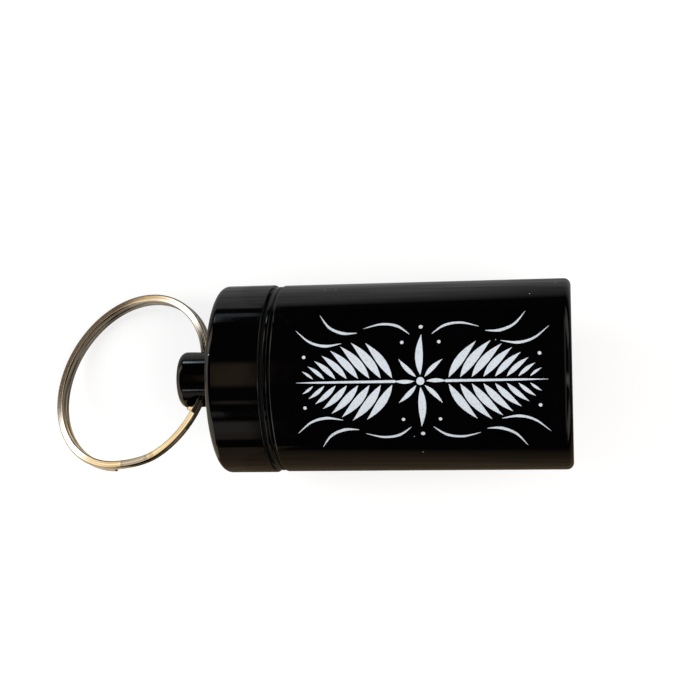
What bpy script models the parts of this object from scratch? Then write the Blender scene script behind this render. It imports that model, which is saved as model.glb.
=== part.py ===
# Keychain case: a turned aluminium canister, a rubber sealing ring on its neck, a screw cap
# with a cross-drilled lug, and a two-turn split ring that hangs through the lug.
# Each piece is drawn upright, base down and lug up. The whole case then lies on its side:
# the lug points along -X, +Y is across the case and the surface it lies on is at Z = 0.

import math

import bmesh
import bpy
from mathutils import Matrix, Vector

mm = 0.001

# Canister
caseLength = 46.0 * mm           # base face to the cap's crown
bodyDiameter = 24.8 * mm
baseThickness = 2.0 * mm
baseEdgeRadius = 0.8 * mm
boreCornerRadius = 1.2 * mm

# Neck, flange and groove at the canister's mouth
neckInset = 1.4 * mm             # from the body's surface in to the thread's crests
neckWall = 1.2 * mm              # from the thread's crests in to the bore
mouthChamfer = 0.3 * mm
mouthClearance = 0.8 * mm        # from the neck's end to the cap's ceiling
flangeInset = 0.15 * mm          # from the body's surface in to the flange's edge
flangeWidth = 0.55 * mm
flangeEdge = 0.1 * mm
grooveWidth = 0.35 * mm
grooveDepth = 0.4 * mm           # below the body's surface
shoulderChamfer = 0.2 * mm

# Sealing ring and its seats
sealSection = 0.9 * mm
sealClearance = 0.15 * mm        # to the neck and to both conical seats
sealSeatDepth = 0.2 * mm         # the neck's undercut behind the ring
sealGap = 0.45 * mm              # flange face to the cap's lip

# Cap
capOverhang = 0.1 * mm           # the cap's surface stands this far outside the body's
capHeight = 7.05 * mm            # lip to crown
crownThickness = 1.7 * mm
capEdgeRadius = 0.9 * mm
lipChamfer = 0.12 * mm
neckClearance = 0.3 * mm         # radial room for the thread
reliefDepth = 0.2 * mm
reliefWidth = 0.9 * mm

# Lug on the cap
lugDiameter = 7.5 * mm
lugHeight = 6.2 * mm
lugEdgeRadius = 1.0 * mm
lugRootRadius = 0.35 * mm
lugWall = 1.1 * mm               # between the hole and the lug's end
holeTurn = math.radians(24.0)    # the hole is turned this far about the case's axis

# Split ring
ringOverhang = 1.2 * mm          # the ring is this much wider than the body
wireWidth = 1.1 * mm             # across the ring's plane
wireThickness = 0.62 * mm        # one turn, along the ring's own axis
wireCorner = 0.2 * mm
turnGap = 0.42 * mm              # between the two turns
ringLean = math.radians(8.4)     # the ring lies turned this far in its own plane
mouthGap = 0.08 * mm             # between the leaning ring's wire and the hole's mouth
firstEnd = math.radians(-88.0)   # the lower turn's cut end, measured from the lug
jogStart = math.radians(328.0)   # wire angle at which it starts to climb onto the second turn
jogEnd = math.radians(358.0)
wireAngle = math.radians(654.0)  # the whole wire
surfaceGap = 0.4 * mm            # under the ring's far side, at rest

# How finely round forms are cut
roundSteps = 64
edgeSteps = 5
cornerSteps = 3
loopSteps = 48
searchSteps = 40                 # halvings in the search for the ring's rest

overrun = 1.0 * mm               # what a cutter reaches past the piece it cuts
mergeDistance = 0.001 * mm
sharpAngle = math.radians(35)    # edges bent more than this are shaded sharp
quarter = math.radians(90)

bodyRadius = bodyDiameter / 2
neckRadius = bodyRadius - neckInset
boreRadius = neckRadius - neckWall
flangeRadius = bodyRadius - flangeInset
capRadius = bodyRadius + capOverhang
lugRadius = lugDiameter / 2
flangeFace = caseLength - capHeight - sealGap
neckEnd = caseLength - crownThickness - mouthClearance
sealSeatRadius = neckRadius - sealSeatDepth
sealMiddle = sealSeatRadius + sealClearance + sealSection / 2
seatReach = math.sqrt(2) * (sealSection / 2 + sealClearance)
seatRadius = sealMiddle - sealGap / 2 + seatReach   # both seats' radius at the flange and lip faces
socketRadius = neckRadius + neckClearance
ringDiameter = bodyDiameter + ringOverhang
wireRadius = (ringDiameter - wireWidth) / 2
turnPitch = wireThickness + turnGap
ringHalf = wireThickness + turnGap / 2          # half of both turns' thickness

# The hole is wide enough for both turns where the leaning ring's inner side passes its mouth
leanReach = lugRadius + wireRadius * math.sin(ringLean)
innerReach = math.sqrt((wireRadius - wireWidth / 2) ** 2 - leanReach ** 2)
mouthReach = wireRadius * math.cos(ringLean) - innerReach
holeRadius = math.hypot(mouthReach - wireCorner, ringHalf - wireCorner) + wireCorner + mouthGap
holeHeight = lugHeight - lugWall - holeRadius   # the hole's axis above the crown


def clearScene():
    for thing in list(bpy.data.objects):
        bpy.data.objects.remove(thing, do_unlink=True)


def makeCollection(name):
    group = bpy.data.collections.new(name)
    bpy.context.scene.collection.children.link(group)
    return group


def makeMaterial(name, colour, roughness, metallic):
    material = bpy.data.materials.new(name)
    material.use_nodes = True
    shader = material.node_tree.nodes["Principled BSDF"]
    shader.inputs["Base Color"].default_value = (*colour, 1.0)
    shader.inputs["Roughness"].default_value = roughness
    shader.inputs["Metallic"].default_value = metallic
    material.diffuse_color = (*colour, 1.0)
    return material


def arc(radius, height, size, start, end, steps):
    """Points of an arc about (radius, height), with both of its ends; angles from straight out."""
    points = []
    for step in range(steps + 1):
        angle = start + (end - start) * step / steps
        points.append((radius + size * math.cos(angle), height + size * math.sin(angle)))
    return points


def turned(name, group, outline, material, closed=False):
    """A solid turned about its own Z axis. The outline runs down the outer side."""
    profile = bpy.data.meshes.new(name + "Profile")
    points = [(radius, 0, height) for radius, height in outline]
    edges = [(index, index + 1) for index in range(len(points) - 1)]
    if closed:
        edges.append((len(points) - 1, 0))
    profile.from_pydata(points, edges, [])
    turning = bpy.data.objects.new(name, profile)
    group.objects.link(turning)
    screw = turning.modifiers.new("Turn", "SCREW")
    screw.axis = "Z"
    screw.steps = roundSteps
    screw.render_steps = roundSteps
    screw.use_merge_vertices = True
    screw.merge_threshold = mergeDistance
    solid = bpy.data.meshes.new_from_object(turning.evaluated_get(bpy.context.evaluated_depsgraph_get()))
    solid.name = name
    turning.modifiers.remove(screw)
    turning.data = solid
    bpy.data.meshes.remove(profile)
    solid.shade_smooth()
    solid.set_sharp_from_angle(angle=sharpAngle)
    solid.materials.append(material)
    return turning


def canisterOutline():
    """From the middle of the bore's floor, up the bore, over the neck and down the outside."""
    seatDepth = seatRadius - sealSeatRadius
    seatTop = flangeFace + sealGap / 2 + sealSection / 2 + sealClearance
    grooveTop = flangeFace - flangeWidth
    grooveRadius = bodyRadius - grooveDepth
    outline = [(0, baseThickness)]
    outline += arc(
        boreRadius - boreCornerRadius, baseThickness + boreCornerRadius,
        boreCornerRadius, -quarter, 0, edgeSteps,
    )
    outline += [
        (boreRadius, neckEnd - mouthChamfer),
        (boreRadius + mouthChamfer, neckEnd),
        (neckRadius - mouthChamfer, neckEnd),
        (neckRadius, neckEnd - mouthChamfer),
        (neckRadius, seatTop + sealSeatDepth),
        (sealSeatRadius, seatTop),
        (sealSeatRadius, flangeFace - seatDepth),
        (seatRadius, flangeFace),
        (flangeRadius - flangeEdge, flangeFace),
        (flangeRadius, flangeFace - flangeEdge),
        (flangeRadius, grooveTop + flangeEdge),
        (flangeRadius - flangeEdge, grooveTop),
        (grooveRadius, grooveTop - flangeEdge),
        (grooveRadius, grooveTop - grooveWidth),
        (bodyRadius - shoulderChamfer, grooveTop - grooveWidth),
        (bodyRadius, grooveTop - grooveWidth - shoulderChamfer),
    ]
    outline += arc(bodyRadius - baseEdgeRadius, baseEdgeRadius, baseEdgeRadius, 0, -quarter, edgeSteps)
    outline.append((0, 0))
    return outline


def sealOutline():
    """The ring's round section, down its outer side and back up; its middle is at height 0."""
    steps = 4 * cornerSteps
    return arc(sealMiddle, 0, sealSection / 2, quarter, -3 * quarter, steps)[:-1]


def capOutline():
    """Down the lug and the cap's outside, round the lip, up the socket. The lip is at height 0."""
    crown = capHeight
    top = crown + lugHeight
    ceiling = crown - crownThickness
    outline = [(0, top)]
    outline += arc(lugRadius - lugEdgeRadius, top - lugEdgeRadius, lugEdgeRadius, quarter, 0, edgeSteps)
    outline += arc(
        lugRadius + lugRootRadius, crown + lugRootRadius,
        lugRootRadius, 2 * quarter, 3 * quarter, cornerSteps,
    )
    outline += arc(capRadius - capEdgeRadius, crown - capEdgeRadius, capEdgeRadius, quarter, 0, edgeSteps)
    outline += [
        (capRadius, lipChamfer),
        (capRadius - lipChamfer, 0),
        (seatRadius, 0),
        (socketRadius, seatRadius - socketRadius),
        (socketRadius, ceiling - reliefWidth - reliefDepth),
        (socketRadius + reliefDepth, ceiling - reliefWidth),
        (socketRadius + reliefDepth, ceiling),
        (0, ceiling),
    ]
    return outline


def drillLug(cap, cutters):
    """The round hole across the lug, turned about the case's axis."""
    drill = bpy.data.meshes.new("lugDrill")
    shape = bmesh.new()
    bmesh.ops.create_cone(
        shape, cap_ends=True, segments=roundSteps // 2,
        radius1=holeRadius, radius2=holeRadius, depth=lugDiameter + 2 * overrun,
    )
    shape.to_mesh(drill)
    shape.free()
    drill.shade_smooth()
    drill.set_sharp_from_angle(angle=sharpAngle)
    cutter = bpy.data.objects.new("lugDrill", drill)
    cutters.objects.link(cutter)
    cutter.parent = cap
    cutter.location = (0, 0, capHeight + holeHeight)
    cutter.rotation_euler = (quarter, 0, holeTurn)
    cutter.hide_render = True
    cutter.display_type = "WIRE"
    bore = cap.modifiers.new("Hole", "BOOLEAN")
    bore.operation = "DIFFERENCE"
    bore.solver = "EXACT"
    bore.object = cutter


def jogShare(angle):
    """0 on the first turn, 1 on the second, with a smooth climb between them."""
    along = (angle - jogStart) / (jogEnd - jogStart)
    along = min(max(along, 0), 1)
    return along * along * (3 - 2 * along)


def wirePoints():
    """The wire's middle line. The hole's axis is the local Y axis and the ring reaches along +X."""
    count = round(loopSteps * wireAngle / (4 * quarter))
    turn = Matrix.Rotation(-ringLean, 4, "Z")
    points = []
    for step in range(count + 1):
        angle = wireAngle * step / count
        place = firstEnd - angle
        out = wireRadius * (1 - math.cos(place))
        high = turnPitch * (jogShare(angle) - 1 / 2)
        points.append(turn @ Vector((out, -wireRadius * math.sin(place), high)))
    return points


def leastGap(points):
    """The smallest space between one turn's surface and the other's, measured from point to point."""
    apart = loopSteps // 2
    least = ringDiameter
    for index, point in enumerate(points):
        for other in points[index + apart:]:
            across = math.hypot(other.x - point.x, other.y - point.y)
            aside = max(across - wireWidth, 0)
            above = max(abs(other.z - point.z) - wireThickness, 0)
            least = min(least, math.hypot(aside, above))
    return least


def wireReach(direction, middle):
    """How far the wire's rounded flat section reaches from its middle along a direction."""
    outward = Vector((middle.x, middle.y, 0)).normalized()
    flat = (wireWidth / 2 - wireCorner) * abs(direction.dot(outward))
    high = (wireThickness / 2 - wireCorner) * abs(direction.z)
    return flat + high + wireCorner


def furthest(points, direction):
    """The wire's furthest reach along a direction in the ring's own frame."""
    centre = Vector((wireRadius * math.cos(ringLean), -wireRadius * math.sin(ringLean), 0))
    return max(direction.dot(point) + wireReach(direction, point - centre) for point in points)


def swungRing(swing):
    """The ring's frame at a swing, seen from the hole: 0 is straight out along the case's axis."""
    hinge = Matrix((
        (0, math.sin(holeTurn), math.cos(holeTurn)),
        (0, -math.cos(holeTurn), math.sin(holeTurn)),
        (1, 0, 0),
    ))
    return hinge @ Matrix.Rotation(swing, 3, "Y")


def restSwing(points):
    """The swing at which the ring's far side comes down to the surface that the case lies on."""
    low, high = 0, quarter
    for _ in range(searchSteps):
        swing = (low + high) / 2
        down = swungRing(swing).transposed() @ Vector((-1, 0, 0))
        if furthest(points, down) < capRadius - surfaceGap:
            low = swing
        else:
            high = swing
    return swing


def wireSection(cutters):
    """The wire's section as a guide curve: a rounded flat bar."""
    half = Vector((wireWidth / 2 - wireCorner, wireThickness / 2 - wireCorner))
    section = bpy.data.curves.new("wireSection", "CURVE")
    spline = section.splines.new("POLY")
    spline.use_cyclic_u = True
    corners = []
    start = quarter
    for side, level in ((1, 1), (1, -1), (-1, -1), (-1, 1)):
        corners += arc(side * half.x, level * half.y, wireCorner, start, start - quarter, cornerSteps - 1)
        start -= quarter
    spline.points.add(len(corners) - 1)
    for point, (across, high) in zip(spline.points, corners):
        point.co = (across, high, 0, 1)
    guide = bpy.data.objects.new("wireSection", section)
    guide.hide_render = True
    guide.display_type = "WIRE"
    cutters.objects.link(guide)
    return guide


def makeRing(group, cutters, material, points):
    """One unbroken flat wire, wound twice round with a jog between the turns."""
    wire = bpy.data.curves.new("split_ring", "CURVE")
    wire.dimensions = "3D"
    wire.twist_mode = "Z_UP"
    wire.bevel_mode = "OBJECT"
    wire.bevel_object = wireSection(cutters)
    wire.use_fill_caps = True
    spline = wire.splines.new("POLY")
    spline.points.add(len(points) - 1)
    for target, point in zip(spline.points, points):
        target.co = (*point, 1)
    wire.materials.append(material)
    ring = bpy.data.objects.new("split_ring", wire)
    group.objects.link(ring)
    return ring


def makeEmpty(name, group):
    empty = bpy.data.objects.new(name, None)
    empty.empty_display_size = capRadius
    group.objects.link(empty)
    return empty


def build():
    clearScene()
    group = makeCollection("KeychainCase")
    cutters = makeCollection("Cutters")
    black = makeMaterial("blackAnodisedAluminium", (0.012, 0.012, 0.014), 0.16, 0.0)
    rubber = makeMaterial("blackRubber", (0.02, 0.02, 0.02), 0.65, 0.0)
    nickel = makeMaterial("nickelPlatedSteel", (0.72, 0.68, 0.62), 0.12, 1.0)

    canister = turned("canister", group, canisterOutline(), black)
    seal = turned("seal_ring", group, sealOutline(), rubber, closed=True)
    seal.location.z = flangeFace + sealGap / 2
    cap = turned("cap", group, capOutline(), black)
    cap.location.z = caseLength - capHeight
    drillLug(cap, cutters)

    points = wirePoints()
    swing = restSwing(points)
    frame = swungRing(swing)
    hinge = makeEmpty("ringHinge", group)
    hinge.parent = cap
    hinge.matrix_local = Matrix.Translation((0, 0, capHeight + holeHeight)) @ frame.to_4x4()
    ring = makeRing(group, cutters, nickel, points)
    ring.parent = hinge

    ringTop = caseLength + holeHeight + furthest(points, frame.transposed() @ Vector((0, 0, 1)))
    lying = makeEmpty("caseLying", group)
    lying.location = (ringTop / 2, 0, capRadius)
    lying.rotation_euler = (0, -quarter, 0)
    for piece in (canister, seal, cap):
        piece.parent = lying

    print("least gap between the split ring's turns, mm:", round(leastGap(points) / mm, 3))
    print("hole diameter, mm:", round(2 * holeRadius / mm, 3))
    print("ring swing at rest, degrees:", round(math.degrees(swing), 2))
    print("base face at X, mm:", round(ringTop / 2 / mm, 3))


build()
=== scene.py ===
# Keychain case: the looks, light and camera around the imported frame.
import math

import bmesh
import bpy
import numpy as np
from mathutils import Matrix, Vector


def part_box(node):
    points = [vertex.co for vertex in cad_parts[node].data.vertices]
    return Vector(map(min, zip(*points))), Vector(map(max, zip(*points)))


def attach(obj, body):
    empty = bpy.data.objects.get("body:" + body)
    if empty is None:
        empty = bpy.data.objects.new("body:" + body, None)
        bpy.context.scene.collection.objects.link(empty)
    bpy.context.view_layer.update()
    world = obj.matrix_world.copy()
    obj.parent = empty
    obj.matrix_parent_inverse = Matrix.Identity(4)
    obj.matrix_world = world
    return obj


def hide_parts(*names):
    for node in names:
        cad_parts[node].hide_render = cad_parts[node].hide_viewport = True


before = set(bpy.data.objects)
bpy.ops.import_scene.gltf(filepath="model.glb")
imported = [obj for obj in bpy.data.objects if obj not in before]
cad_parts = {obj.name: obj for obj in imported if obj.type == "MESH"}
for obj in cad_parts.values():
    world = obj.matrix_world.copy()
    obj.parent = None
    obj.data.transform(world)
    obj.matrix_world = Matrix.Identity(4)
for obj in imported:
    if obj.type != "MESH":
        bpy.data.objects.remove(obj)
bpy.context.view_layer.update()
mm = 0.001

# The case lies along X, and heights run from its base face towards the cap. Each piece has its values
# in a dictionary beside its code, in millimetres and degrees unless a note says otherwise.
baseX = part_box("canister")[1].x
axisZ = (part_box("cap")[0].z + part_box("cap")[1].z) / 2


# An sRGB hex code as the linear colour that nodes and lamps take
def hexToLinear(code):
    parts = [int(code[index:index + 2], 16) / 255 for index in (1, 3, 5)]
    return (*[p / 12.92 if p <= 0.04045 else ((p + 0.055) / 1.055) ** 2.4 for p in parts], 1.0)


def setInputs(tree, node, inputs):
    for key, value in inputs.items():
        if isinstance(value, bpy.types.NodeSocket):
            tree.links.new(value, node.inputs[key])
        else:
            node.inputs[key].default_value = value


# One node with its settings, and its inputs given as values or as sockets to link
def addNode(tree, kind, inputs=None, **settings):
    node = tree.nodes.new(kind)
    for name, value in settings.items():
        setattr(node, name, value)
    setInputs(tree, node, inputs or {})
    return node


def newMaterial(name):
    material = bpy.data.materials.new(name)
    material.use_nodes = True
    return material, material.node_tree, material.node_tree.nodes["Principled BSDF"]


sharpBend = 30  # an edge that bends more is kept sharp
wearBend = (14, 30)  # how far an outer edge bends where wear starts, and where it is full


# Marks each point that lies on a sharp outer edge, where a finish wears first
def markEdges(mesh):
    start, full = wearBend
    shape = bmesh.new()
    shape.from_mesh(mesh)
    wear = []
    for vertex in shape.verts:
        bend = max((edge.calc_face_angle_signed(0) for edge in vertex.link_edges), default=0)
        wear.append(min(max((math.degrees(bend) - start) / (full - start), 0), 1))
    shape.free()
    mesh.attributes.new("edgeWear", "FLOAT", "POINT").data.foreach_set("value", wear)


def addPiece(name, vertices, faces, material, sharp=sharpBend):
    mesh = bpy.data.meshes.new(name)
    mesh.from_pydata(vertices, [], faces)
    piece = bpy.data.objects.new(name, mesh)
    bpy.context.scene.collection.objects.link(piece)
    mesh.materials.append(material)
    mesh.shade_smooth()
    mesh.set_sharp_from_angle(angle=math.radians(sharp))
    return piece


def arc(radius, height, size, start, end, steps):
    angles = [math.radians(start + (end - start) * step / steps) for step in range(steps + 1)]
    return [(radius + size * math.cos(a), height + size * math.sin(a)) for a in angles]


def spaced(start, end, step):
    count = max(round(abs(end - start) / step), 1)
    return [start + (end - start) * index / count for index in range(count + 1)]


# Places along a straight run, with one close to each end so that the shading stays flat between them
def straight(start, end, step, close=0.04):
    side = close if end > start else -close
    return [start + side, *spaced(start, end, step)[1:-1], end - side]


# Rows of (radius, height) turned about the case's axis. A radius may be one number for each column.
def turnedMesh(rows, columns, closed=False):
    turn = np.arange(columns) * 2 * math.pi / columns
    vertices, starts = [], []
    for radius, height in rows:
        pole = not np.ndim(radius) and radius == 0
        starts.append((len(vertices), pole))
        if pole:
            vertices.append((baseX - height * mm, 0, axisZ))
            continue
        radii = np.broadcast_to(radius, columns) * mm
        across, up = radii * np.sin(turn), axisZ + radii * np.cos(turn)
        vertices += [(baseX - height * mm, y, z) for y, z in zip(across.tolist(), up.tolist())]
    faces = []
    pairs = list(zip(starts, starts[1:]))
    if closed:
        pairs.append((starts[-1], starts[0]))
    for (a, aPole), (b, bPole) in pairs:
        for j in range(columns):
            k = (j + 1) % columns
            if aPole:
                faces.append((a, b + j, b + k))
            elif bPole:
                faces.append((a + j, b, a + k))
            else:
                faces.append((a + j, b + j, b + k, a + k))
    return vertices, faces


thread = {
    "pitch": 1.5, "crest": 0.36, "flank": 0.25, "rowStep": 0.075,
    "neckPhase": 0.0, "capPhase": 0.5,  # turns; the cap's crests lie in the neck's roots
}


# Right-handed thread: 0 in the root and 1 on the crest, for each column round the case
def threadShape(height, columns, phase):
    turn = np.arange(columns) / columns
    along = (height / thread["pitch"] - turn + phase) % 1
    aside = np.abs(along - 0.5) * thread["pitch"]
    return np.clip((thread["crest"] / 2 + thread["flank"] - aside) / thread["flank"], 0, 1)


# Gloss black anodised aluminium, turned then sealed: near black, a hard clear shine like glass,
# faint rings from the lathe on the sides and ends, thin grey on the sharp edges, a few specks of dust.
# The rings are drawn coarser than a lathe leaves them, to show.
anodised = {
    "black": "#020203", "warmBlack": "#040303", "mottle": 2.2,
    "roughness": (0.04, 0.09), "shineSpan": (0.3, 0.7), "ior": 1.6,
    "ringSpacing": 0.3, "ringDepth": 0.0006, "waveLength": 5.0, "waveDepth": 0.004,
    "edge": "#2c2b2a", "wearGrit": 0.5, "gritSpan": (0.42, 0.62), "wearTone": (0.1, 0.75), "wearRough": 0.12,
    "speck": "#c4c2be", "speckSpacing": 3.0, "speckSize": 0.085, "speckCore": 0.6,
}


def makeAnodised():
    finish = anodised
    material, tree, shader = newMaterial("anodisedAluminiumTurned")
    place = addNode(tree, "ShaderNodeTexCoord").outputs["Object"]
    middle = addNode(
        tree, "ShaderNodeVectorMath", {0: place, 1: (0, 0, axisZ)}, operation="SUBTRACT",
    ).outputs[0]
    parts = addNode(tree, "ShaderNodeSeparateXYZ", {0: middle}).outputs
    flat = addNode(tree, "ShaderNodeCombineXYZ", {"Y": parts["Y"], "Z": parts["Z"]})
    outward = addNode(tree, "ShaderNodeVectorMath", {0: flat.outputs[0]}, operation="LENGTH").outputs["Value"]
    # rings follow the tool: along the axis on the sides, outward from the axis on the ends
    cut = addNode(tree, "ShaderNodeCombineXYZ", {"X": parts["X"], "Y": outward}).outputs[0]
    rings = addNode(
        tree, "ShaderNodeTexNoise",
        {"Vector": cut, "Scale": 1 / (finish["ringSpacing"] * mm), "Detail": 2.0, "Roughness": 0.6},
    ).outputs["Fac"]
    waves = addNode(
        tree, "ShaderNodeTexNoise",
        {"Vector": place, "Scale": 1 / (finish["waveLength"] * mm), "Detail": 1.0},
    ).outputs["Fac"]
    mottle = addNode(
        tree, "ShaderNodeTexNoise",
        {"Vector": place, "Scale": 1 / (finish["mottle"] * mm), "Detail": 4.0},
    ).outputs["Fac"]
    # wear on the sharp edges comes in patches
    edge = addNode(tree, "ShaderNodeAttribute", attribute_name="edgeWear").outputs["Fac"]
    grit = addNode(
        tree, "ShaderNodeTexNoise",
        {"Vector": place, "Scale": 1 / (finish["wearGrit"] * mm), "Detail": 3.0},
    ).outputs["Fac"]
    patchy = addNode(tree, "ShaderNodeMapRange", {
        "Value": grit, "From Min": finish["gritSpan"][0], "From Max": finish["gritSpan"][1],
        "To Min": finish["wearTone"][0], "To Max": finish["wearTone"][1],
    }).outputs[0]
    worn = addNode(tree, "ShaderNodeMath", {0: edge, 1: patchy}, operation="MULTIPLY").outputs[0]
    # dust lies as small round specks, far apart
    spots = addNode(
        tree, "ShaderNodeTexVoronoi", {"Vector": place, "Scale": 1 / (finish["speckSpacing"] * mm)},
    ).outputs["Distance"]
    speckEdge = finish["speckSize"] / finish["speckSpacing"]
    speck = addNode(
        tree, "ShaderNodeMapRange",
        {"Value": spots, "From Min": speckEdge, "From Max": finish["speckCore"] * speckEdge},
    ).outputs[0]
    tone = addNode(tree, "ShaderNodeMix", {
        0: mottle, 6: hexToLinear(finish["black"]), 7: hexToLinear(finish["warmBlack"]),
    }, data_type="RGBA").outputs[2]
    colour = addNode(
        tree, "ShaderNodeMix", {0: worn, 6: tone, 7: hexToLinear(finish["edge"])}, data_type="RGBA",
    ).outputs[2]
    dusted = addNode(
        tree, "ShaderNodeMix", {0: speck, 6: colour, 7: hexToLinear(finish["speck"])}, data_type="RGBA",
    ).outputs[2]
    shine = addNode(tree, "ShaderNodeMapRange", {
        "Value": mottle, "From Min": finish["shineSpan"][0], "From Max": finish["shineSpan"][1],
        "To Min": finish["roughness"][0], "To Max": finish["roughness"][1],
    }).outputs[0]
    shine = addNode(
        tree, "ShaderNodeMath", {0: worn, 1: finish["wearRough"], 2: shine}, operation="MULTIPLY_ADD",
    ).outputs[0]
    wavy = addNode(
        tree, "ShaderNodeBump", {"Height": waves, "Strength": 1.0, "Distance": finish["waveDepth"] * mm},
    ).outputs[0]
    ringed = addNode(
        tree, "ShaderNodeBump",
        {"Height": rings, "Strength": 1.0, "Distance": finish["ringDepth"] * mm, "Normal": wavy},
    ).outputs[0]
    setInputs(tree, shader, {
        "Base Color": dusted, "Roughness": shine, "Normal": ringed, "IOR": finish["ior"],
    })
    return material


# Black nitrile rubber, moulded: dull, soft-edged highlight, fine grain
rubber = {
    "black": "#141414", "bloom": "#1d1c1b", "bloomSize": 1.5,
    "roughness": 0.62, "grain": 0.12, "grainDepth": 0.003,
}


def makeRubber():
    finish = rubber
    material, tree, shader = newMaterial("nitrileRubberMoulded")
    place = addNode(tree, "ShaderNodeTexCoord").outputs["Object"]
    grain = addNode(
        tree, "ShaderNodeTexNoise",
        {"Vector": place, "Scale": 1 / (finish["grain"] * mm), "Detail": 2.0},
    ).outputs["Fac"]
    bloom = addNode(
        tree, "ShaderNodeTexNoise", {"Vector": place, "Scale": 1 / (finish["bloomSize"] * mm)},
    ).outputs["Fac"]
    colour = addNode(tree, "ShaderNodeMix", {
        0: bloom, 6: hexToLinear(finish["black"]), 7: hexToLinear(finish["bloom"]),
    }, data_type="RGBA").outputs[2]
    bump = addNode(
        tree, "ShaderNodeBump", {"Height": grain, "Strength": 1.0, "Distance": finish["grainDepth"] * mm},
    ).outputs[0]
    setInputs(tree, shader, {"Base Color": colour, "Roughness": finish["roughness"], "Normal": bump})
    return material


# Nickel-plated spring steel, drawn flat wire: bright and a little warm, fine lines along the wire,
# drawn coarser than a die leaves them, to show
nickel = {
    "pale": "#e0dad0", "warm": "#cfc3ae", "patch": 3.0, "roughness": (0.02, 0.07), "shineSpan": (0.3, 0.7),
    "line": "#9a8d7a", "lineSpacing": 0.4, "lineLength": 14.0, "lineDepth": 0.0005,
    "lineSpan": (0.46, 0.56), "lineTone": 0.8, "edgeTone": 0.2,
}


def makeNickel():
    finish = nickel
    material, tree, shader = newMaterial("nickelPlatedSteelDrawn")
    wire = addNode(tree, "ShaderNodeAttribute", attribute_name="wirePlace").outputs["Vector"]
    stretch = (1 / finish["lineLength"], 1 / finish["lineSpacing"], 1 / finish["lineSpacing"])
    drawn = addNode(tree, "ShaderNodeVectorMath", {0: wire, 1: stretch}, operation="MULTIPLY").outputs[0]
    lines = addNode(
        tree, "ShaderNodeTexNoise", {"Vector": drawn, "Scale": 1.0, "Detail": 3.0},
    ).outputs["Fac"]
    place = addNode(tree, "ShaderNodeTexCoord").outputs["Object"]
    patches = addNode(
        tree, "ShaderNodeTexNoise",
        {"Vector": place, "Scale": 1 / (finish["patch"] * mm), "Detail": 2.0},
    ).outputs["Fac"]
    edge = addNode(tree, "ShaderNodeAttribute", attribute_name="edgeWear").outputs["Fac"]
    tone = addNode(tree, "ShaderNodeMix", {
        0: patches, 6: hexToLinear(finish["pale"]), 7: hexToLinear(finish["warm"]),
    }, data_type="RGBA").outputs[2]
    scored = addNode(tree, "ShaderNodeMapRange", {
        "Value": lines, "From Min": finish["lineSpan"][0], "From Max": finish["lineSpan"][1],
        "To Min": 0.0, "To Max": finish["lineTone"],
    }).outputs[0]
    cut = addNode(
        tree, "ShaderNodeMath", {0: edge, 1: finish["edgeTone"], 2: scored},
        operation="MULTIPLY_ADD", use_clamp=True,
    ).outputs[0]
    colour = addNode(
        tree, "ShaderNodeMix", {0: cut, 6: tone, 7: hexToLinear(finish["line"])}, data_type="RGBA",
    ).outputs[2]
    shine = addNode(tree, "ShaderNodeMapRange", {
        "Value": lines, "From Min": finish["shineSpan"][0], "From Max": finish["shineSpan"][1],
        "To Min": finish["roughness"][0], "To Max": finish["roughness"][1],
    }).outputs[0]
    bump = addNode(
        tree, "ShaderNodeBump", {"Height": lines, "Strength": 1.0, "Distance": finish["lineDepth"] * mm},
    ).outputs[0]
    setInputs(tree, shader, {"Base Color": colour, "Metallic": 1.0, "Roughness": shine, "Normal": bump})
    return material


# Screen-printed epoxy ink: flat pale grey-white, a little thin and speckled
ink = {
    "pale": "#ccd4dc", "thin": "#a4adb8", "roughness": 0.42,
    "speck": 0.22, "speckSpan": (0.5, 0.75), "speckTone": 0.8, "speckDepth": 0.002,
}


def makeInk():
    finish = ink
    material, tree, shader = newMaterial("epoxyInkScreenPrinted")
    place = addNode(tree, "ShaderNodeTexCoord").outputs["Object"]
    specks = addNode(
        tree, "ShaderNodeTexNoise",
        {"Vector": place, "Scale": 1 / (finish["speck"] * mm), "Detail": 3.0},
    ).outputs["Fac"]
    thin = addNode(tree, "ShaderNodeMapRange", {
        "Value": specks, "From Min": finish["speckSpan"][0], "From Max": finish["speckSpan"][1],
        "To Min": 0.0, "To Max": finish["speckTone"],
    }).outputs[0]
    colour = addNode(tree, "ShaderNodeMix", {
        0: thin, 6: hexToLinear(finish["pale"]), 7: hexToLinear(finish["thin"]),
    }, data_type="RGBA").outputs[2]
    bump = addNode(
        tree, "ShaderNodeBump", {"Height": specks, "Strength": 1.0, "Distance": finish["speckDepth"] * mm},
    ).outputs[0]
    setInputs(tree, shader, {"Base Color": colour, "Roughness": finish["roughness"], "Normal": bump})
    return material


blackMetal = makeAnodised()
blackRubber = makeRubber()
brightSteel = makeNickel()
paleInk = makeInk()
print("materials made")


# Canister: one turned cup with a threaded neck, a seat for the sealing ring, a flange and a groove
canister = {
    "columns": 176, "centre": 0.8, "faceStep": 1.2, "boreStep": 4, "sideStep": 3, "nick": 0.04,
    "bore": 9.8, "floor": 2.0, "floorCorner": 1.2, "mouth": 43.5, "mouthEdge": 0.3,
    "crest": 10.98, "root": 10.6, "lead": 0.1, "seat": 10.8, "seatTop": 39.325, "seatRelief": 0.1,
    "threadEnd": 39.45, "threadRunOut": 0.6, "seatRim": 12.02,
    "flangeFace": 38.5, "flange": 12.25, "flangeEdge": 0.1, "flangeBack": 37.95,
    "groove": 12.0, "shoulder": 37.6, "shoulderEdge": 0.2, "body": 12.4, "baseEdge": 0.9,
}


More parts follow.
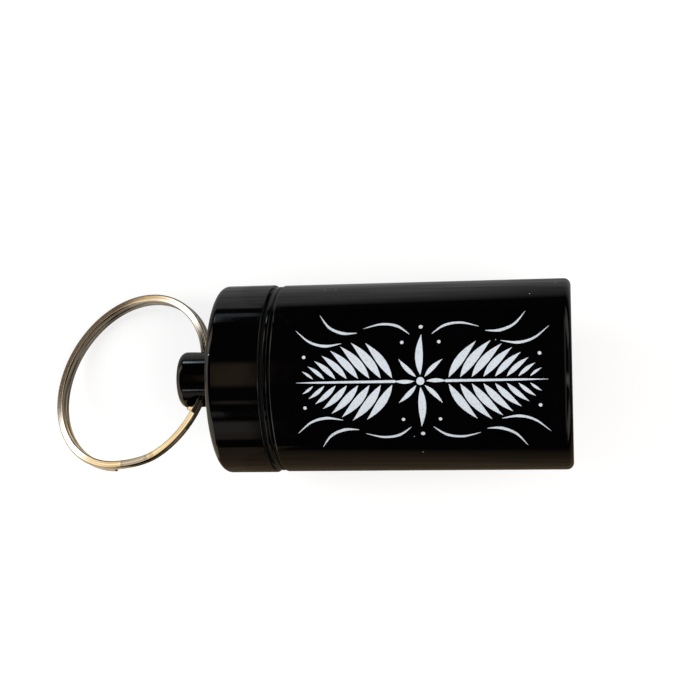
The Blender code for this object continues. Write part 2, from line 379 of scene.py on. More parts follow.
def canisterRows():
    c = canister
    edge, nick = c["flangeEdge"], c["nick"]
    corner, cornerTop = c["bore"] - c["floorCorner"], c["floor"] + c["floorCorner"]
    boreTop = c["mouth"] - c["mouthEdge"]
    rows = [(0, c["floor"])]
    rows += [(radius, c["floor"]) for radius in spaced(c["centre"], corner, c["faceStep"])]
    rows += arc(corner, cornerTop, c["floorCorner"], -90, 0, steps=8)[1:]
    rows += [(c["bore"], height) for height in straight(cornerTop, boreTop, c["boreStep"])]
    rows += arc(c["bore"] + c["mouthEdge"], boreTop, c["mouthEdge"], 180, 90, steps=4)
    lead = c["root"] - c["lead"]
    rows.append((lead, c["mouth"]))
    for height in spaced(c["mouth"], c["threadEnd"], thread["rowStep"])[1:]:
        runOut = min((height - c["threadEnd"]) / c["threadRunOut"], 1)
        root = c["seat"] + (c["root"] - c["seat"]) * runOut
        radius = root + (c["crest"] - root) * runOut * threadShape(height, c["columns"], thread["neckPhase"])
        rows.append((np.minimum(radius, lead + c["mouth"] - height), height))
    seatFoot = c["flangeFace"] - (c["seatRim"] - c["seat"]) + c["seatRelief"]
    rows += [(c["seat"], c["seatTop"]), (c["seat"], seatFoot), (c["seat"] + c["seatRelief"], seatFoot)]
    rows += [(c["seatRim"], c["flangeFace"])]
    rows += arc(c["flange"] - edge, c["flangeFace"] - edge, edge, 90, 0, steps=4)
    rows += arc(c["flange"] - edge, c["flangeBack"] + edge, edge, 0, -90, steps=4)
    rows += [(c["groove"] + nick, c["flangeBack"]), (c["groove"], c["flangeBack"] - nick)]
    rows += [(c["groove"], c["shoulder"] + nick), (c["groove"] + nick, c["shoulder"])]
    rounding = c["shoulderEdge"]
    rows += arc(c["body"] - rounding, c["shoulder"] - rounding, rounding, 90, 0, steps=5)
    side = straight(c["shoulder"] - rounding, c["baseEdge"], c["sideStep"])
    rows += [(c["body"], height) for height in side]
    rows += arc(c["body"] - c["baseEdge"], c["baseEdge"], c["baseEdge"], 0, -90, steps=10)
    base = straight(c["body"] - c["baseEdge"], c["centre"], c["faceStep"])
    return rows + [(radius, 0) for radius in base] + [(0, 0)]


body = addPiece("canister_turned", *turnedMesh(canisterRows(), canister["columns"]), blackMetal)
markEdges(body.data)
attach(body, "canister")
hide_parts("canister")
print("canister made")


# Sealing ring: round section with the faint line of its mould, gripped between two conical seats
seal = {
    "columns": 144, "middle": 11.4, "height": 38.725, "section": 0.9, "flash": 0.02, "steps": 20,
    "sharp": 60,
}


def sealRows():
    rows = []
    for step in range(seal["steps"]):
        angle = math.radians(90) - 2 * math.pi * step / seal["steps"]
        proud = seal["flash"] if step in (seal["steps"] // 4, 3 * seal["steps"] // 4) else 0
        size = seal["section"] / 2 - seal["flash"] + proud
        rows.append((seal["middle"] + size * math.cos(angle), seal["height"] + size * math.sin(angle)))
    return rows


gasket = addPiece(
    "sealing_ring", *turnedMesh(sealRows(), seal["columns"], closed=True), blackRubber, seal["sharp"],
)
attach(gasket, "seal")
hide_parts("seal_ring")
print("sealing ring made")


# Cap: turned with its lug in one piece, threaded inside, with a round hole across the lug
cap = {
    "columns": 176, "centre": 0.8, "lip": 38.95, "lipEdge": 0.12, "radius": 12.5, "sideStep": 1,
    "crown": 46.0, "crownEdge": 0.9, "crownStep": 0.8,
    "lug": 3.75, "lugEnd": 52.2, "lugEdge": 0.9, "lugRoot": 0.35, "lugStep": 0.22, "lugEndStep": 0.5,
    "socket": 11.3, "crest": 10.74, "threadFadeIn": 0.55, "threadFadeOut": 0.4, "seatRim": 12.02,
    "seatCorner": 0.02, "relief": 43.2, "reliefDepth": 0.2, "ceiling": 44.3, "ceilingStep": 1.2,
    "hole": 2.0, "holeHeight": 49.1, "holeTurn": 24.0, "holeEdge": 0.22, "holeColumns": 96,
    "flareAngles": range(0, 66, 13), "flareDepth": 0.6,
}


def capRows():
    c = cap
    lugEdge, crownEdge, lipEdge = c["lugEdge"], c["crownEdge"], c["lipEdge"]
    lugFoot, rootRadius = c["crown"] + c["lugRoot"], c["lug"] + c["lugRoot"]
    end = straight(c["lugEndStep"], c["lug"] - lugEdge, c["lugEndStep"])
    rows = [(0, c["lugEnd"])] + [(radius, c["lugEnd"]) for radius in end]
    rows += arc(c["lug"] - lugEdge, c["lugEnd"] - lugEdge, lugEdge, 90, 0, steps=12)
    rows += [(c["lug"], height) for height in straight(c["lugEnd"] - lugEdge, lugFoot, c["lugStep"])]
    rows += arc(rootRadius, lugFoot, c["lugRoot"], 180, 270, steps=6)
    crown = straight(rootRadius, c["radius"] - crownEdge, c["crownStep"])
    rows += [(radius, c["crown"]) for radius in crown]
    rows += arc(c["radius"] - crownEdge, c["crown"] - crownEdge, crownEdge, 90, 0, steps=12)
    side = straight(c["crown"] - crownEdge, c["lip"] + lipEdge, c["sideStep"])
    rows += [(c["radius"], height) for height in side]
    rows += arc(c["radius"] - lipEdge, c["lip"] + lipEdge, lipEdge, 0, -90, steps=4)
    cone = c["lip"] + c["seatRim"] - c["socket"]
    rows += [(c["seatRim"], c["lip"]), (c["socket"] + c["seatCorner"], cone - c["seatCorner"])]
    depth = c["socket"] - c["crest"]
    for height in spaced(cone, c["relief"], thread["rowStep"]):
        fade = min((height - cone) / c["threadFadeIn"], (c["relief"] - height) / c["threadFadeOut"], 1)
        shape = threadShape(height, c["columns"], thread["capPhase"])
        rows.append((c["socket"] - depth * fade * shape, height))
    wall = c["socket"] + c["reliefDepth"]
    rows += [(wall, c["relief"] + c["reliefDepth"]), (wall, c["ceiling"])]
    inner = spaced(c["socket"] - c["centre"], c["centre"], c["ceilingStep"])
    return rows + [(radius, c["ceiling"]) for radius in inner] + [(0, c["ceiling"])]


# The drill that cuts the lug's hole: its ends flare so that both mouths come out rounded
def holeCutter():
    c = cap
    turn = math.radians(c["holeTurn"])
    aside = Vector((0, math.sin(turn), math.cos(turn)))
    along = Vector((0, -math.cos(turn), math.sin(turn)))
    centre = Vector((baseX - c["holeHeight"] * mm, 0, axisZ))
    rounding = [math.radians(angle) for angle in c["flareAngles"]]
    flare = [(c["holeEdge"] * (1 - math.cos(a)), c["holeEdge"] * (math.sin(a) - 1)) for a in rounding]
    wide, deep = flare[-1]
    flare.append((wide + c["flareDepth"] * math.tan(rounding[-1]), deep + c["flareDepth"]))
    profile = [(wide, -1, deep) for wide, deep in reversed(flare)] + [(wide, 1, deep) for wide, deep in flare]
    count = c["holeColumns"]
    vertices, faces = [], []
    for wide, side, deep in profile:
        radius = c["hole"] + wide
        for column in range(count):
            angle = 2 * math.pi * column / count
            mouth = math.sqrt(c["lug"] ** 2 - (c["hole"] * math.sin(angle)) ** 2)
            spot = Vector((math.cos(angle) * radius, 0, 0)) + aside * math.sin(angle) * radius
            vertices.append(centre + (spot + along * side * (mouth + deep)) * mm)
    for row in range(0, (len(profile) - 1) * count, count):
        for column in range(count):
            following = (column + 1) % count
            faces.append((row + column, row + following, row + count + following, row + count + column))
    faces.append(tuple(reversed(range(count))))
    faces.append(tuple(range((len(profile) - 1) * count, len(profile) * count)))
    return addPiece("lugDrill", vertices, faces, blackMetal)


def drillPiece(piece, cutter):
    shape = bmesh.new()
    shape.from_mesh(cutter.data)
    bmesh.ops.recalc_face_normals(shape, faces=shape.faces)
    shape.to_mesh(cutter.data)
    shape.free()
    bore = piece.modifiers.new("Bore", "BOOLEAN")
    bore.operation, bore.solver, bore.object = "DIFFERENCE", "EXACT", cutter
    evaluated = piece.evaluated_get(bpy.context.evaluated_depsgraph_get())
    drilled = bpy.data.meshes.new_from_object(evaluated)
    piece.modifiers.clear()
    piece.data = drilled
    bpy.data.objects.remove(cutter)
    drilled.shade_smooth()
    drilled.set_sharp_from_angle(angle=math.radians(sharpBend))


lid = addPiece("cap_turned", *turnedMesh(capRows(), cap["columns"]), blackMetal)
drillPiece(lid, holeCutter())
markEdges(lid.data)
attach(lid, "cap")
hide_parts("cap")
print("cap made,", len(lid.data.polygons), "faces")


# Split ring: one flat wire wound almost twice round, its turns touching, with a jog between them
ring = {
    "outside": 26.0, "width": 1.1, "thickness": 0.74, "gap": 0.05,
    "corner": 0.18, "cornerSteps": 4, "flat": 0.03, "step": 2.5, "nudge": 0.1, "cutEdge": 0.06, "sharp": 40,
    "swing": 20.69, "lean": 8.4, "firstEnd": -88.0, "jogStart": 328.0, "jogEnd": 358.0, "wire": 654.0,
}


# The wire's section, with a point just past each end of a corner to keep the shading of the flats flat
def wireSection():
    r = ring
    points = []
    for across, high, start in ((1, 1, 90), (1, -1, 0), (-1, -1, -90), (-1, 1, -180)):
        middle = (across * (r["width"] / 2 - r["corner"]), high * (r["thickness"] / 2 - r["corner"]))
        corner = arc(*middle, r["corner"], start, start - 90, r["cornerSteps"])
        right, up = r["flat"] * math.cos(math.radians(start)), r["flat"] * math.sin(math.radians(start))
        before = (corner[0][0] - up, corner[0][1] + right)
        after = (corner[-1][0] - right, corner[-1][1] - up)
        points += [before, *corner, after]
    return points


# The middle of the wire at an angle along it, in the ring's own plane, climbing at the jog
def wireMiddle(angle, radius):
    r = ring
    climb = min(max((angle - r["jogStart"]) / (r["jogEnd"] - r["jogStart"]), 0), 1)
    level = (r["thickness"] + r["gap"]) * (climb * climb * (3 - 2 * climb) - 1 / 2)
    place = math.radians(r["firstEnd"] - angle)
    return Vector((radius - radius * math.cos(place), -radius * math.sin(place), level))


def ringMesh():
    r = ring
    radius = (r["outside"] - r["width"]) / 2
    swing, turn = math.radians(r["swing"]), math.radians(cap["holeTurn"])
    out = Vector((-math.cos(swing), -math.sin(swing) * math.sin(turn), -math.sin(swing) * math.cos(turn)))
    along = Vector((0, -math.cos(turn), math.sin(turn)))
    lean = Matrix.Rotation(math.radians(-r["lean"]), 3, "Z")
    ringPlane = Matrix((out, along, out.cross(along))).transposed() @ lean
    hinge = Vector((baseX - cap["holeHeight"] * mm, 0, axisZ))
    section = wireSection()
    lap = [0]
    for a, b in zip(section, section[1:] + section[:1]):
        lap.append(lap[-1] + math.dist(a, b))
    cut = math.degrees(r["cutEdge"] / radius)
    stations = [(0, 1)] + [(angle, 0) for angle in spaced(cut, r["wire"] - cut, r["step"])] + [(r["wire"], 1)]
    vertices, wirePlace = [], []
    for angle, trimmed in stations:
        spot = wireMiddle(angle, radius)
        ahead = wireMiddle(angle + r["nudge"], radius) - wireMiddle(angle - r["nudge"], radius)
        outward = Vector((spot.x - radius, spot.y, 0)).normalized()
        up = outward.cross(ahead.normalized()).normalized()
        up = up if up.z > 0 else -up
        shrink = 1 - 2 * trimmed * r["cutEdge"] / r["thickness"]
        for index, (across, high) in enumerate(section):
            point = spot + (outward * across + up * high) * shrink
            vertices.append(hinge + ringPlane @ point * mm)
            wirePlace += [math.radians(angle) * radius, lap[index], 0.0]
    count = len(section)
    last = (len(stations) - 1) * count
    faces = []
    for row in range(0, last, count):
        for column in range(count):
            following = (column + 1) % count
            faces.append((row + column, row + count + column, row + count + following, row + following))
    faces.append(tuple(range(count)))
    faces.append(tuple(reversed(range(last, last + count))))
    return vertices, faces, wirePlace


ringVertices, ringFaces, wirePlace = ringMesh()
keyRing = addPiece("key_ring", ringVertices, ringFaces, brightSteel, ring["sharp"])
keyRing.data.attributes.new("wirePlace", "FLOAT_VECTOR", "POINT").data.foreach_set("vector", wirePlace)
markEdges(keyRing.data)
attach(keyRing, "ring")
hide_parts("split_ring")
print("split ring made")


# Print on the canister's side: sprigs of slender leaves in pale ink, the same on all four quarters.
# Places are (along the case, round it) from the middle of the print, in millimetres.
pattern = {
    "height": 18.5, "turn": -2.2, "film": 0.025, "sunk": 0.02, "stripStep": 0.5, "reach": 10.5,
    "weld": 0.001, "cutSnap": 0.0001,
    "leafStart": 3.5, "leafStep": 1.42, "leafLengths": (5.6, 5.9, 5.5, 5.0, 4.3, 3.5, 2.6, 1.7),
    "leafAngle": 62.0, "leafTurn": -2.5, "leafBend": -16.0, "leafGap": 0.42,
    "leafWidth": 0.185, "leafSwell": 0.85, "leafPoint": 0.02, "rosetteHub": 0.75,
    "rosette": ((0, 2.6), (45, 3.1), (90, 5.2), (135, 3.1), (180, 2.6), (225, 3.1), (270, 5.2), (315, 3.1)),
    "stem": [(3.1, 0), (8, 0), (12.5, 0), (15.6, 0)], "stemWidths": [0.34, 0.3, 0.24, 0.03],
    "tendrils": [
        ([(1.4, 6.0), (3.0, 7.2), (5.0, 7.5), (7.2, 6.9)], [0.05, 0.34, 0.3, 0.03]),
        ([(8.0, 6.3), (9.8, 6.3), (11.6, 7.2), (12.9, 9.1)], [0.05, 0.4, 0.3, 0.03]),
        ([(9.9, 4.9), (12.0, 4.6), (14.0, 5.2), (15.8, 6.8)], [0.05, 0.36, 0.26, 0.03]),
    ],
    "berries": [(0, 0, 0.5), (2.3, 4.9, 0.22), (14.6, 3.2, 0.22), (0, 7.0, 0.26)], "berrySides": 14,
}


def strokeFaces(points, widths):
    points = [Vector(point) for point in points]
    left, right = [], []
    for index, (point, width) in enumerate(zip(points, widths)):
        ahead = points[min(index + 1, len(points) - 1)] - points[max(index - 1, 0)]
        side = ahead.orthogonal().normalized() * width / 2
        left.append(point + side)
        right.append(point - side)
    return [[right[i], right[i + 1], left[i + 1], left[i]] for i in range(len(points) - 1)]


# A smooth line through the given points, with its widths
def smoothLine(points, widths, steps=6):
    points = [Vector(point) for point in points]
    line, wide = [], []
    for i in range(len(points) - 1):
        here, following = points[i], points[i + 1]
        before, after = points[max(i - 1, 0)], points[min(i + 2, len(points) - 1)]
        for step in range(steps + (i == len(points) - 2)):
            t = step / steps
            rise = 3 * t * t - 2 * t ** 3
            bend = (following - before) * (t - 2 * t * t + t ** 3) / 2 + (after - here) * (t ** 3 - t * t) / 2
            line.append(here * (1 - rise) + following * rise + bend)
            wide.append(widths[i] + (widths[i + 1] - widths[i]) * t)
    return line, wide


def leafFaces(along, up, angle, length, steps=8):
    p = pattern
    points, widths = [Vector((along, up))], [p["leafPoint"]]
    for step in range(1, steps + 1):
        turn = math.radians(angle + p["leafBend"] * step / steps)
        points.append(points[-1] + Vector((math.cos(turn), math.sin(turn))) * length / steps)
        swell = math.sin(math.pi * (step / steps) ** p["leafSwell"])
        widths.append(max(length * p["leafWidth"] * swell, p["leafPoint"]))
    return strokeFaces(points, widths)


def patternFaces():
    p = pattern
    quarter = strokeFaces(*smoothLine(p["stem"], p["stemWidths"]))
    for index, length in enumerate(p["leafLengths"]):
        along = p["leafStart"] + p["leafStep"] * index
        quarter += leafFaces(along, p["leafGap"], p["leafAngle"] + p["leafTurn"] * index, length)
    for points, widths in p["tendrils"]:
        quarter += strokeFaces(*smoothLine(points, widths))
    for along, up, size in p["berries"]:
        angles = [math.tau * step / p["berrySides"] for step in range(p["berrySides"])]
        quarter.append([Vector((along + size * math.cos(a), up + size * math.sin(a))) for a in angles])
    # a face that lies on a middle line meets its own mirror image, and is kept once
    faces, seen = [], set()
    for sideways, upright in ((1, 1), (-1, 1), (1, -1), (-1, -1)):
        for face in quarter:
            mirrored = [(point.x * sideways, point.y * upright) for point in face]
            middle = sum(np.array(mirrored)) / len(mirrored)
            mark = tuple(round(float(part), 3) + 0.0 for part in middle)  # + 0.0 makes -0.0 plain 0.0
            if mark not in seen:
                seen.add(mark)
                faces.append(mirrored)
    hub = p["rosetteHub"]
    for angle, length in p["rosette"]:
        turn = math.radians(angle)
        faces += leafFaces(hub * math.cos(turn), hub * math.sin(turn), angle - p["leafBend"] / 2, length)
    return faces


# The flat pattern cut into strips, bent round the canister and given the film's thickness
def printedMesh():
    p = pattern
    flat = bmesh.new()
    for corners in patternFaces():
        flat.faces.new([flat.verts.new((point[0], point[1], 0)) for point in corners])
    bmesh.ops.recalc_face_normals(flat, faces=flat.faces)
    for face in flat.faces:
        if face.normal.z < 0:
            face.normal_flip()
    bmesh.ops.remove_doubles(flat, verts=flat.verts, dist=p["weld"])
    for up in spaced(-p["reach"], p["reach"], p["stripStep"]):
        everything = flat.verts[:] + flat.edges[:] + flat.faces[:]
        bmesh.ops.bisect_plane(
            flat, geom=everything, dist=p["cutSnap"], plane_co=(0, up, 0), plane_no=(0, 1, 0),
        )
    flat.verts.index_update()
    vertices = []
    for lift in (p["film"], -p["sunk"]):
        radius = (canister["body"] + lift) * mm
        for vertex in flat.verts:
            angle = vertex.co.y / canister["body"] + math.radians(p["turn"])
            x = baseX - (p["height"] - vertex.co.x) * mm
            vertices.append((x, radius * math.sin(angle), axisZ + radius * math.cos(angle)))
    under = len(flat.verts)
    faces = []
    for face in flat.faces:
        loop = [vertex.index for vertex in face.verts]
        faces += [loop, [index + under for index in reversed(loop)]]
        for edge in face.loops:
            if len(edge.edge.link_faces) == 1:
                a, b = edge.vert.index, edge.link_loop_next.vert.index
                faces.append([b, a, a + under, b + under])
    flat.free()
    return vertices, faces


printed = addPiece("side_print", *printedMesh(), paleInk)
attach(printed, "canister")
print("print made,", len(printed.data.polygons), "faces")


# Paper under the case: pale and matt, with a soft shadow close by, and plain white further off
paper = {
    "tone": "#b4b4b4", "roughness": 0.9, "fibre": 1.1, "fibreDepth": 0.02, "fibreShow": 0.2,
    "glow": 0.62, "size": 3.0, "nearFade": 0.14, "farFade": 0.5,  # size and fades in metres
}

# Table that only mirror-like surfaces see: grey to one side of the case and brown to the other,
# with grain along the case. Its places and distances are in metres, from the frame's origin.
table = {
    "grey": "#959595", "brown": "#665845", "blend": 0.012,
    "grainLength": 0.0222, "grainWidth": 0.00238, "grainBend": 0.4,
    "grainSpan": (0.35, 0.68), "grainTone": (0.55, 1.25),
    "pale": "#d8c7a8", "paleSlant": 0.3, "paleEdge": (-0.017, -0.019), "paleSide": (-0.001, -0.004),
    "fadeStart": 0.058, "greyEnd": 0.125, "brownEnd": 0.16, "fadeTone": 0.02,
    "capSlant": 0.19, "capEdge": (-0.001, -0.007), "capTone": 1.2, "farEdge": (0.14, 0.22),
}


def addPaper(tree, shader, place, seen):
    fibre = addNode(
        tree, "ShaderNodeTexNoise",
        {"Vector": place, "Scale": 1 / (paper["fibre"] * mm), "Detail": 3.0},
    ).outputs["Fac"]
    bump = addNode(
        tree, "ShaderNodeBump",
        {"Height": fibre, "Strength": paper["fibreShow"], "Distance": paper["fibreDepth"] * mm},
    ).outputs[0]
    setInputs(tree, shader, {
        "Base Color": hexToLinear(paper["tone"]), "Roughness": paper["roughness"],
        "Specular IOR Level": 0.0, "Normal": bump,
    })
    away = addNode(tree, "ShaderNodeVectorMath", {0: place}, operation="LENGTH").outputs["Value"]
    far = addNode(
        tree, "ShaderNodeMapRange",
        {"Value": away, "From Min": paper["nearFade"], "From Max": paper["farFade"]},
    ).outputs[0]
    glow = addNode(
        tree, "ShaderNodeMapRange", {"Value": far, "To Min": paper["glow"], "To Max": 1.0},
    ).outputs[0]
    glow = addNode(tree, "ShaderNodeMath", {0: glow, 1: seen}, operation="MULTIPLY").outputs[0]
    fade = addNode(tree, "ShaderNodeMath", {0: far, 1: seen}, operation="MULTIPLY").outputs[0]
    light = addNode(tree, "ShaderNodeEmission", {"Color": (1, 1, 1, 1), "Strength": glow}).outputs[0]
    dark = addNode(tree, "ShaderNodeEmission", {"Strength": 0.0}).outputs[0]
    lit = addNode(tree, "ShaderNodeMixShader", {0: fade, 1: shader.outputs[0], 2: dark}).outputs[0]
    return addNode(tree, "ShaderNodeAddShader", {0: lit, 1: light}).outputs[0]


def addTable(tree, place):
    parts = addNode(tree, "ShaderNodeSeparateXYZ", {0: place}).outputs
    out = addNode(tree, "ShaderNodeMath", {0: parts["Y"]}, operation="ABSOLUTE").outputs[0]
    across = addNode(
        tree, "ShaderNodeMapRange",
        {"Value": parts["Y"], "From Min": -table["blend"], "From Max": table["blend"]},
    ).outputs[0]
    tone = addNode(tree, "ShaderNodeMix", {
        0: across, 6: hexToLinear(table["brown"]), 7: hexToLinear(table["grey"]),
    }, data_type="RGBA").outputs[2]
    # a pale part beyond the cap, on the brown side, lights the ring's lower edges
    slant = addNode(
        tree, "ShaderNodeMath", {0: out, 1: table["paleSlant"], 2: parts["X"]}, operation="MULTIPLY_ADD",
    ).outputs[0]
    beyond = addNode(
        tree, "ShaderNodeMapRange",
        {"Value": slant, "From Min": table["paleEdge"][0], "From Max": table["paleEdge"][1]},
    ).outputs[0]
    nearer = addNode(
        tree, "ShaderNodeMapRange",
        {"Value": parts["Y"], "From Min": table["paleSide"][0], "From Max": table["paleSide"][1]},
    ).outputs[0]
    pale = addNode(tree, "ShaderNodeMath", {0: beyond, 1: nearer}, operation="MULTIPLY").outputs[0]
    tone = addNode(
        tree, "ShaderNodeMix", {0: pale, 6: tone, 7: hexToLinear(table["pale"])}, data_type="RGBA",
    ).outputs[2]
    # the table fades away from the base end, and stays lit to the far side as the cap mirrors it
    away = addNode(tree, "ShaderNodeMath", {0: out, 1: parts["X"]}, operation="ADD").outputs[0]
    end = addNode(
        tree, "ShaderNodeMapRange",
        {"Value": across, "To Min": table["brownEnd"], "To Max": table["greyEnd"]},
    ).outputs[0]
    fading = addNode(tree, "ShaderNodeMapRange", {
        "Value": away, "From Min": table["fadeStart"], "From Max": end,
        "To Min": 1.0, "To Max": table["fadeTone"],
    }).outputs[0]
    atCap = addNode(
        tree, "ShaderNodeMath", {0: out, 1: table["capSlant"], 2: parts["X"]}, operation="MULTIPLY_ADD",
    ).outputs[0]
    atCap = addNode(tree, "ShaderNodeMapRange", {
        "Value": atCap, "From Min": table["capEdge"][0], "From Max": table["capEdge"][1],
        "To Max": table["capTone"],
    }).outputs[0]
    limit = addNode(tree, "ShaderNodeMapRange", {
        "Value": parts["Y"], "From Min": table["farEdge"][0], "From Max": table["farEdge"][1],
        "To Min": 1.0, "To Max": 0.0,
    }).outputs[0]
    atCap = addNode(tree, "ShaderNodeMath", {0: atCap, 1: limit}, operation="MULTIPLY").outputs[0]
    reach = addNode(tree, "ShaderNodeMath", {0: fading, 1: atCap}, operation="MAXIMUM").outputs[0]
    stretch = (1 / table["grainLength"], 1 / table["grainWidth"], 0.0)
    run = addNode(tree, "ShaderNodeVectorMath", {0: place, 1: stretch}, operation="MULTIPLY").outputs[0]
    grain = addNode(
        tree, "ShaderNodeTexNoise",
        {"Vector": run, "Scale": 1.0, "Detail": 4.0, "Distortion": table["grainBend"]},
    ).outputs["Fac"]
    grain = addNode(tree, "ShaderNodeMapRange", {
        "Value": grain, "From Min": table["grainSpan"][0], "From Max": table["grainSpan"][1],
        "To Min": table["grainTone"][0], "To Max": table["grainTone"][1],
    }).outputs[0]
    reach = addNode(tree, "ShaderNodeMath", {0: reach, 1: grain}, operation="MULTIPLY").outputs[0]
    return addNode(tree, "ShaderNodeEmission", {"Color": tone, "Strength": reach}).outputs[0]


def makeFloor():
    material, tree, shader = newMaterial("paperBackdropMatt")
    place = addNode(tree, "ShaderNodeTexCoord").outputs["Object"]
    path = addNode(tree, "ShaderNodeLightPath").outputs
    # the paper glows and fades for the camera alone, so that it lights nothing itself
    seen = addNode(
        tree, "ShaderNodeMath", {0: path["Is Camera Ray"], 1: path["Is Transmission Ray"]},
        operation="ADD", use_clamp=True,
    ).outputs[0]
    sheet = addPaper(tree, shader, place, seen)
    mirrored = addTable(tree, place)
    both = addNode(tree, "ShaderNodeMixShader", {0: path["Is Glossy Ray"], 1: sheet, 2: mirrored})
    tree.links.new(both.outputs[0], tree.nodes["Material Output"].inputs["Surface"])
    half = paper["size"] / 2
    corners = [(-half, -half, 0), (half, -half, 0), (half, half, 0), (-half, half, 0)]
    addPiece("floor", corners, [(0, 1, 2, 3)], material)


# Soft lights round the case: lamps (metres and watts) and an even fill, and for mirror-like surfaces a
# dark room with cards of light. A card spreads over parts of the direction, as (from, to, soft edge),
# and 2 or -2 leaves an end open. Roll is the angle round the case's axis, from straight up.
ringSide = (-2, -0.40, 0.06)  # the directions that the ring's flat faces mirror
studio = {
    "fill": 0.5,
    "lamps": [
        {"name": "rightSoftBox", "place": (0.42, -0.10, 0.42), "size": (0.5, 0.5), "power": 2.4,
         "tone": "#fffaf4"},
        {"name": "leftSoftBox", "place": (-0.46, 0.16, 0.40), "size": (0.4, 0.5), "power": 2.2,
         "tone": "#ffffff"},
    ],
    "cards": [
        # dull, white and gold stretches on the ring's flat faces
        {"tone": (0.19, 0.145, 0.105), "x": ringSide, "y": (0.42, 2, 0.01), "z": (0.19, 0.241, 0.003)},
        {"tone": (2.8, 2.9, 3.1), "x": ringSide, "y": (0.42, 0.64, 0.01), "z": (0.241, 0.269, 0.003)},
        {"tone": (1.7, 1.4, 0.92), "x": ringSide, "y": (0.42, 0.556, 0.004), "z": (0.269, 0.42, 0.004)},
        {"tone": (1.2, 0.95, 0.6), "x": ringSide, "y": (0.566, 0.64, 0.003), "z": (0.226, 0.241, 0.003)},
        {"tone": (1.2, 0.95, 0.6), "x": ringSide, "y": (0.556, 2, 0.004), "z": (0.31, 0.42, 0.01)},
        {"tone": (0.75, 0.62, 0.45), "x": ringSide, "y": (0.42, 0.5, 0.01), "z": (-0.1, 0.19, 0.02)},
        {"tone": (0.13, 0.11, 0.09), "x": ringSide, "y": (0.5, 2, 0.01), "z": (-0.1, 0.19, 0.02)},
        # the wire's sides and its jog
        {"tone": (0.85, 0.8, 0.74), "x": (-2, -0.36, 0.04), "y": (-0.9, 0.42, 0.01), "z": (-0.1, 0.56, 0.03)},
        {"tone": (1.0, 0.93, 0.82), "x": (-2, -0.33, 0.02), "y": (0.42, 2, 0.01), "z": (0.42, 0.62, 0.03)},
        # the base's rounded edge, and the ring as seen from behind
        {"tone": (0.8, 0.8, 0.8), "x": (0.34, 0.93, 0.05), "y": (-0.19, -0.01, 0.05), "z": (0.1, 2, 0.1)},
        {"tone": (0.22, 0.22, 0.22), "x": (0.45, 2, 0.1), "z": (0.1, 0.4, 0.1)},
        {"tone": (0.4, 0.39, 0.37), "x": (0.3, 2, 0.05), "y": (0.4, 2, 0.05), "z": (-0.05, 0.5, 0.05)},
        {"tone": (0.4, 0.39, 0.37), "x": (0.3, 2, 0.05), "y": (-2, -0.4, 0.05), "z": (-0.05, 0.5, 0.05)},
        {"tone": (0.26, 0.25, 0.235), "x": (0.06, 0.34, 0.03), "z": (0.3, 2, 0.1)},
        # strips along the cap and the lug, from the far side to the near one
        {"tone": (0.27, 0.33, 0.37), "x": (-0.285, -0.220, 0.001), "roll": (82.5, 88.0, 1.0)},
        {"tone": (1.5, 1.7, 1.95), "x": (-0.288, -0.2545, 0.0015), "roll": (75.0, 83.0, 1.5)},
        {"tone": (6.0, 6.6, 7.2), "x": (-0.288, -0.273, 0.0015), "roll": (75.0, 83.0, 1.5)},
        {"tone": (0.25, 0.18, 0.11), "x": (-0.256, -0.223, 0.001), "roll": (-7.5, 20.0, 3.0)},
        {"tone": (0.18, 0.15, 0.12), "x": (-0.256, -0.223, 0.001), "roll": (-29.5, -25.5, 1.0)},
        {"tone": (1.7, 1.7, 1.7), "x": (-0.288, -0.2605, 0.0012), "roll": (-45.5, -39.5, 1.5)},
        {"tone": (0.24, 0.22, 0.19), "x": (-0.288, -0.2215, 0.001), "roll": (-68.0, -52.0, 2.0)},
        {"tone": (0.18, 0.15, 0.125), "x": (-0.288, -0.2215, 0.001), "roll": (-77.5, -68.0, 1.5)},
    ],
}


# 1 between low and high and 0 outside, over a soft edge
def addWindow(tree, value, low, high, soft):
    rise = addNode(
        tree, "ShaderNodeMapRange", {"Value": value, "From Min": low - soft, "From Max": low + soft},
    ).outputs[0]
    fall = addNode(tree, "ShaderNodeMapRange", {
        "Value": value, "From Min": high - soft, "From Max": high + soft, "To Min": 1.0, "To Max": 0.0,
    }).outputs[0]
    return addNode(tree, "ShaderNodeMath", {0: rise, 1: fall}, operation="MULTIPLY").outputs[0]


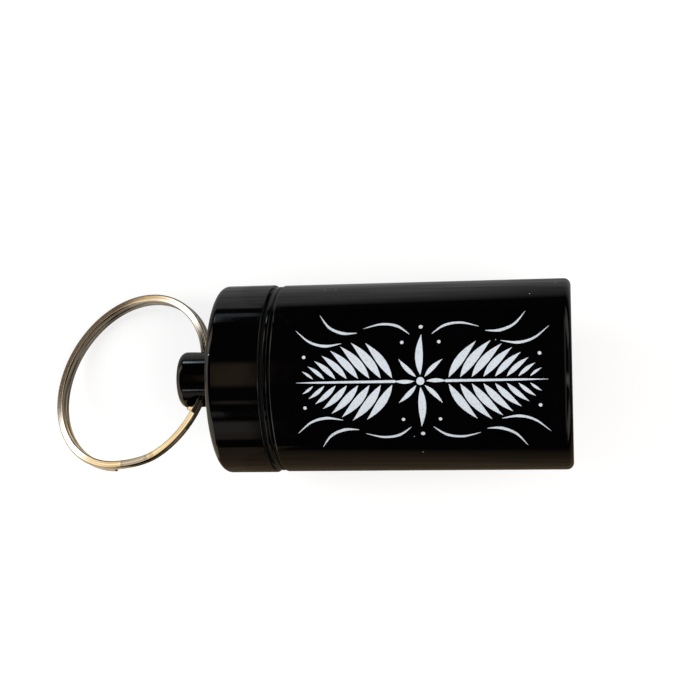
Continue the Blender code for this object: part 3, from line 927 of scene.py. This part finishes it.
def makeWorld():
    world = bpy.data.worlds.new("softStudio")
    bpy.context.scene.world = world
    world.use_nodes = True
    tree = world.node_tree
    tree.nodes.clear()
    direction = addNode(tree, "ShaderNodeTexCoord").outputs["Generated"]
    parts = addNode(tree, "ShaderNodeSeparateXYZ", {0: direction}).outputs
    roll = addNode(tree, "ShaderNodeMath", {0: parts["Y"], 1: parts["Z"]}, operation="ARCTAN2").outputs[0]
    roll = addNode(tree, "ShaderNodeMath", {0: roll}, operation="DEGREES").outputs[0]
    measures = {"x": parts["X"], "y": parts["Y"], "z": parts["Z"], "roll": roll}
    total = (0.0, 0.0, 0.0)
    for card in studio["cards"]:
        share = 1.0
        for name, measure in measures.items():
            if name in card:
                window = addWindow(tree, measure, *card[name])
                share = addNode(
                    tree, "ShaderNodeMath", {0: window, 1: share}, operation="MULTIPLY",
                ).outputs[0]
        lit = addNode(
            tree, "ShaderNodeVectorMath", {0: card["tone"], "Scale": share}, operation="SCALE",
        ).outputs[0]
        total = addNode(tree, "ShaderNodeVectorMath", {0: lit, 1: total}, operation="ADD").outputs[0]
    path = addNode(tree, "ShaderNodeLightPath").outputs
    shiny = addNode(
        tree, "ShaderNodeMath", {0: path["Is Glossy Ray"], 1: path["Is Transmission Ray"]},
        operation="ADD", use_clamp=True,
    ).outputs[0]
    fill = (studio["fill"],) * 3 + (1.0,)
    soft = addNode(tree, "ShaderNodeMix", {0: shiny, 6: fill, 7: total}, data_type="RGBA").outputs[2]
    shown = addNode(
        tree, "ShaderNodeMix", {0: path["Is Camera Ray"], 6: soft, 7: (1, 1, 1, 1)}, data_type="RGBA",
    ).outputs[2]
    backdrop = addNode(tree, "ShaderNodeBackground", {"Color": shown, "Strength": 1.0}).outputs[0]
    ending = addNode(tree, "ShaderNodeOutputWorld", {"Surface": backdrop})
    ending.is_active_output = True


def makeLamps():
    aim = Vector((0, 0, axisZ))
    for lamp in studio["lamps"]:
        light = bpy.data.lights.new(lamp["name"], "AREA")
        light.shape = "RECTANGLE"
        light.size, light.size_y = lamp["size"]
        light.energy = lamp["power"]
        light.color = hexToLinear(lamp["tone"])[:3]
        holder = bpy.data.objects.new(lamp["name"], light)
        bpy.context.scene.collection.objects.link(holder)
        holder.location = lamp["place"]
        holder.rotation_euler = (aim - holder.location).to_track_quat("-Z", "Y").to_euler()
        holder.visible_camera = False
        holder.visible_glossy = False


makeFloor()
makeWorld()
makeLamps()
print("floor and light made")


# Camera: above the base end and leaning towards the cap, as in the photograph
view = {
    "fromBase": (0.0, 1.974, 184.61), "turn": (0.0059, 0.1567, -0.0188),  # radians
    "lens": 72.289, "sensor": 36.0, "clip": (0.005, 10),  # the clip in metres
}


def makeCamera():
    camera = bpy.data.cameras.new("view")
    camera.sensor_width = view["sensor"]
    camera.lens = view["lens"]
    camera.clip_start, camera.clip_end = view["clip"]
    holder = bpy.data.objects.new("view", camera)
    bpy.context.scene.collection.objects.link(holder)
    holder.location = Vector((baseX, 0, axisZ)) + Vector(view["fromBase"]) * mm
    holder.rotation_euler = view["turn"]
    bpy.context.scene.camera = holder


makeCamera()
bpy.context.scene.view_settings.view_transform = "Standard"
print("camera made")
